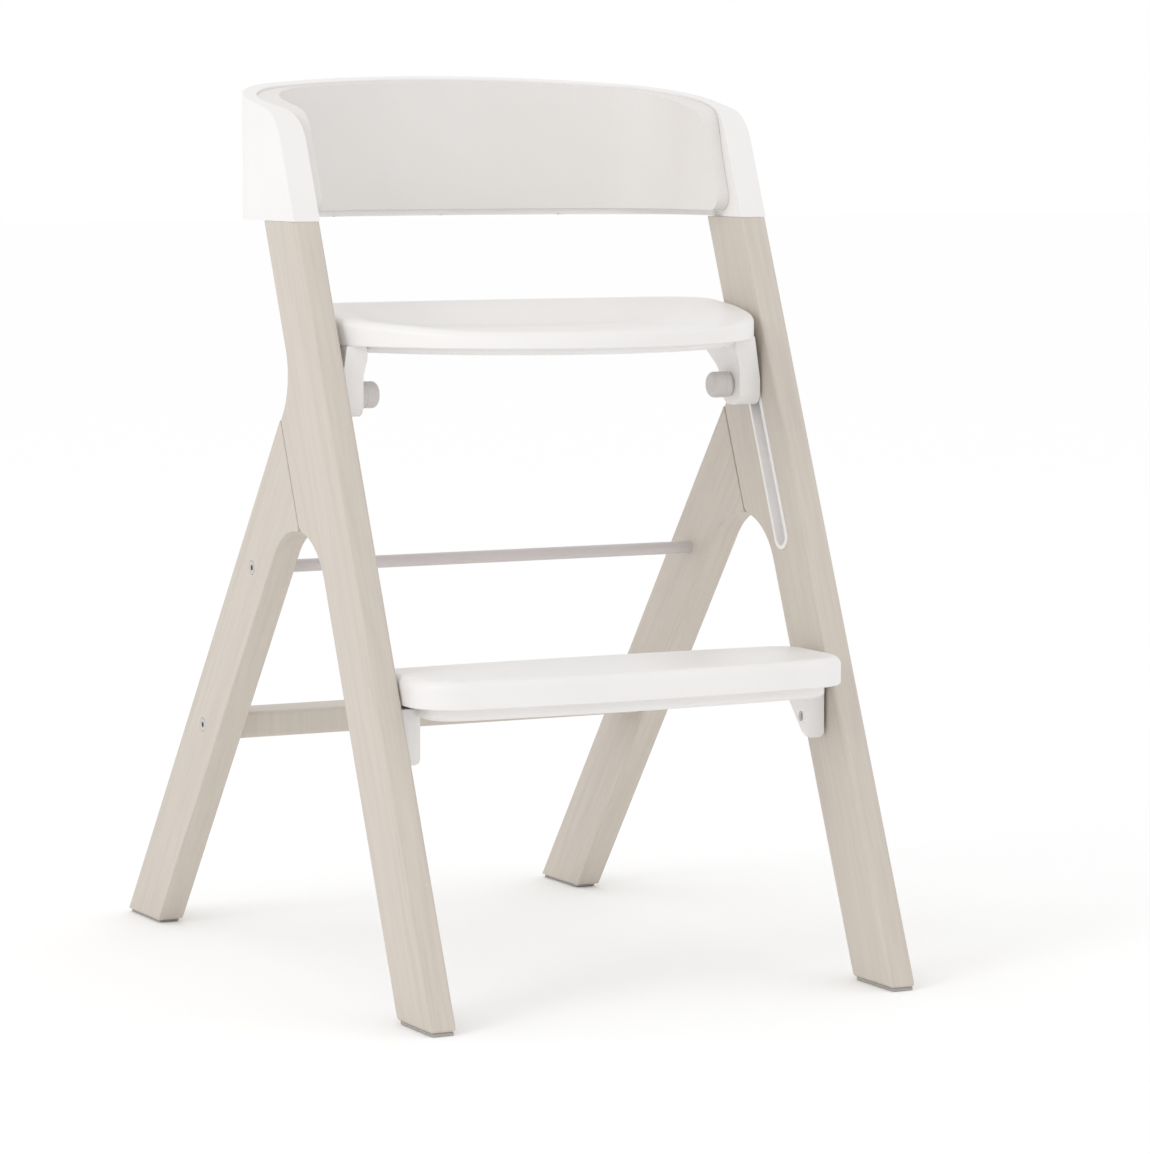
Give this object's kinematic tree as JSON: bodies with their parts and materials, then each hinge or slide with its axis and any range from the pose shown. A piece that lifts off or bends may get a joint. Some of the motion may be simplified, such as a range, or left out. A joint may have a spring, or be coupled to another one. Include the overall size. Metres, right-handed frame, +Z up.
{
  "type": "folding adjustable child chair",
  "caption": "Folding child's chair with A-shaped wooden sides, wrap-around backrest, height-adjustable seat with pull knobs, and a footrest.",
  "frame": {"origin": "on the floor, in the middle of the footprint between the four feet", "axes": "+Z up, -Y is the chair's front, +X to the right seen from the front"},
  "size_m": [0.488, 0.72, 0.831],
  "materials": {
    "wood_front": "greige stain, satin lacquer",
    "wood_rear": "greige stain, satin lacquer",
    "white_plastic": "warm white, satin moulded",
    "knob_plastic": "pale pinkish grey, satin",
    "painted_rod": "pale grey powder coat",
    "pad_rubber": "matt grey",
    "steel": "zinc-plated"
  },
  "bodies": {
    "front_frame": {"front_leg_left": "wood_front", "front_leg_right": "wood_front", "slot_liner_left": "white_plastic", "slot_liner_right": "white_plastic", "liner_screws": "steel", "backrest_shell": "white_plastic", "backrest_inner_panel": "white_plastic", "backrest_screws": "steel", "panel_screws": "steel", "footrest_top_shell": "white_plastic", "footrest_under_cover": "white_plastic", "footrest_bracket_left": "white_plastic", "footrest_bracket_right": "white_plastic", "footrest_leg_screws": "steel", "footrest_bracket_screws": "steel", "footrest_cover_screws": "steel", "front_foot_pad_left": "pad_rubber", "front_foot_pad_right": "pad_rubber", "front_hinge_leaf_left": "steel", "front_hinge_leaf_right": "steel", "hinge_pins": "steel", "front_hinge_screws": "steel"},
    "rear_frame": {"rear_leg_left": "wood_rear", "rear_leg_right": "wood_rear", "rear_rod": "painted_rod", "rod_inserts": "steel", "rod_bolts": "steel", "rear_crossbar": "wood_rear", "crossbar_bolts": "steel", "crossbar_barrel_nuts": "steel", "crossbar_dowels": "wood_rear", "rear_foot_pad_left": "pad_rubber", "rear_foot_pad_right": "pad_rubber", "rear_hinge_leaf_left": "steel", "rear_hinge_leaf_right": "steel", "rear_hinge_screws": "steel"},
    "seat": {"seat_top_shell": "white_plastic", "seat_under_cover": "white_plastic", "seat_bracket_left": "white_plastic", "seat_bracket_right": "white_plastic", "seat_bracket_screws": "steel", "seat_cover_screws": "steel", "slider_left": "knob_plastic", "slider_right": "knob_plastic", "slider_screws": "steel", "plunger_bush_left": "steel", "plunger_bush_right": "steel"},
    "knob_left": {"pull_knob_left": "knob_plastic", "lock_pin_left": "steel", "lock_spring_left": "steel"},
    "knob_right": {"pull_knob_right": "knob_plastic", "lock_pin_right": "steel", "lock_spring_right": "steel"}
  },
  "joints": [
    {"name": "rear_frame_fold", "type": "hinge", "parent": "front_frame", "child": "rear_frame", "pos_m": [0, -0.0762, 0.41861], "axis": [-1, 0, 0], "range_deg": [0, 60]},
    {"name": "seat_height", "type": "slide", "parent": "front_frame", "child": "seat", "axis": [0, 0.3827, 0.9239], "range_m": [-0.147, 0]},
    {"name": "knob_left_pull", "type": "slide", "parent": "seat", "child": "knob_left", "axis": [1, 0, 0], "range_m": [0, 0.006], "stiffness_N_per_m": 1200, "springref_m": -0.004, "deforming": ["lock_spring_left"]},
    {"name": "knob_right_pull", "type": "slide", "parent": "seat", "child": "knob_right", "axis": [-1, 0, 0], "range_m": [0, 0.006], "stiffness_N_per_m": 1200, "springref_m": -0.004, "deforming": ["lock_spring_right"]}
  ]
}
